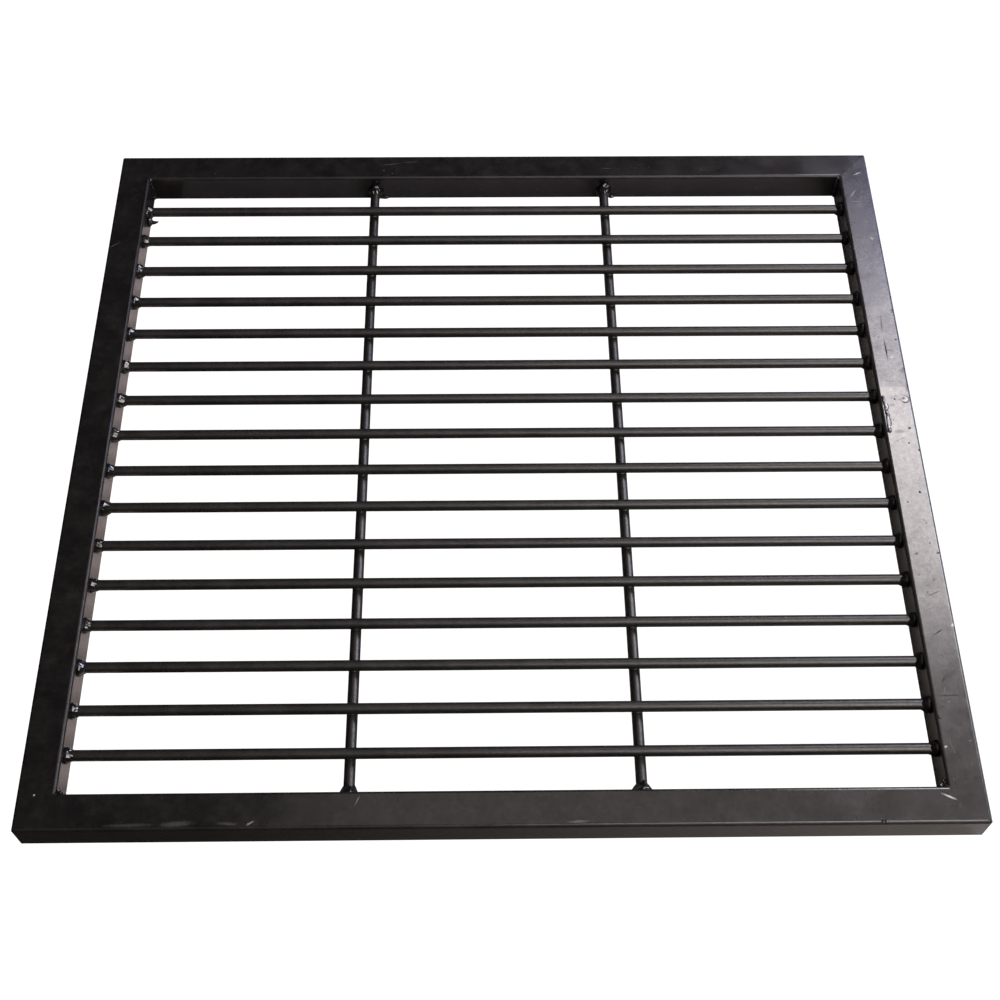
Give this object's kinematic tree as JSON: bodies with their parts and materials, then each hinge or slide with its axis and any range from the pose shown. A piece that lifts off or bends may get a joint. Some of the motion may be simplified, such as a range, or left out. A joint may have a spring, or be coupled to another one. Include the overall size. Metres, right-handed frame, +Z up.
{
  "type": "fire pit grate",
  "caption": "Flat welded steel grate for a fire pit: a mitred square-tube frame with round cross rods laid over round support rods.",
  "frame": {"origin": "centre of the frame's underside", "axes": "+Z up; +X along the cross rods, towards the right rail; +Y from the front rail to the back rail"},
  "size_m": [0.7874, 0.7366, 0.0318],
  "materials": {
    "frame_paint": "satin black heat-proof paint on square steel tube, scratched and chipped at the edges",
    "rod_paint": "satin black heat-proof paint on round steel bar",
    "weld_paint": "glossier black paint over lumpy weld metal"
  },
  "bodies": {
    "root": {"frame_rail_front": "frame_paint", "frame_rail_back": "frame_paint", "frame_rail_left": "frame_paint", "frame_rail_right": "frame_paint", "corner_weld_front_left": "weld_paint", "corner_weld_front_right": "weld_paint", "corner_weld_back_left": "weld_paint", "corner_weld_back_right": "weld_paint", "cross_rod_01": "rod_paint", "cross_rod_02": "rod_paint", "cross_rod_03": "rod_paint", "cross_rod_04": "rod_paint", "cross_rod_05": "rod_paint", "cross_rod_06": "rod_paint", "cross_rod_07": "rod_paint", "cross_rod_08": "rod_paint", "cross_rod_09": "rod_paint", "cross_rod_10": "rod_paint", "cross_rod_11": "rod_paint", "cross_rod_12": "rod_paint", "cross_rod_13": "rod_paint", "cross_rod_14": "rod_paint", "cross_rod_15": "rod_paint", "cross_rod_16": "rod_paint", "support_rod_left": "rod_paint", "support_rod_right": "rod_paint", "cross_rod_welds_left": "weld_paint", "cross_rod_welds_right": "weld_paint", "support_rod_welds_front": "weld_paint", "support_rod_welds_back": "weld_paint", "crossing_welds_left": "weld_paint", "crossing_welds_right": "weld_paint"}
  },
  "joints": []
}
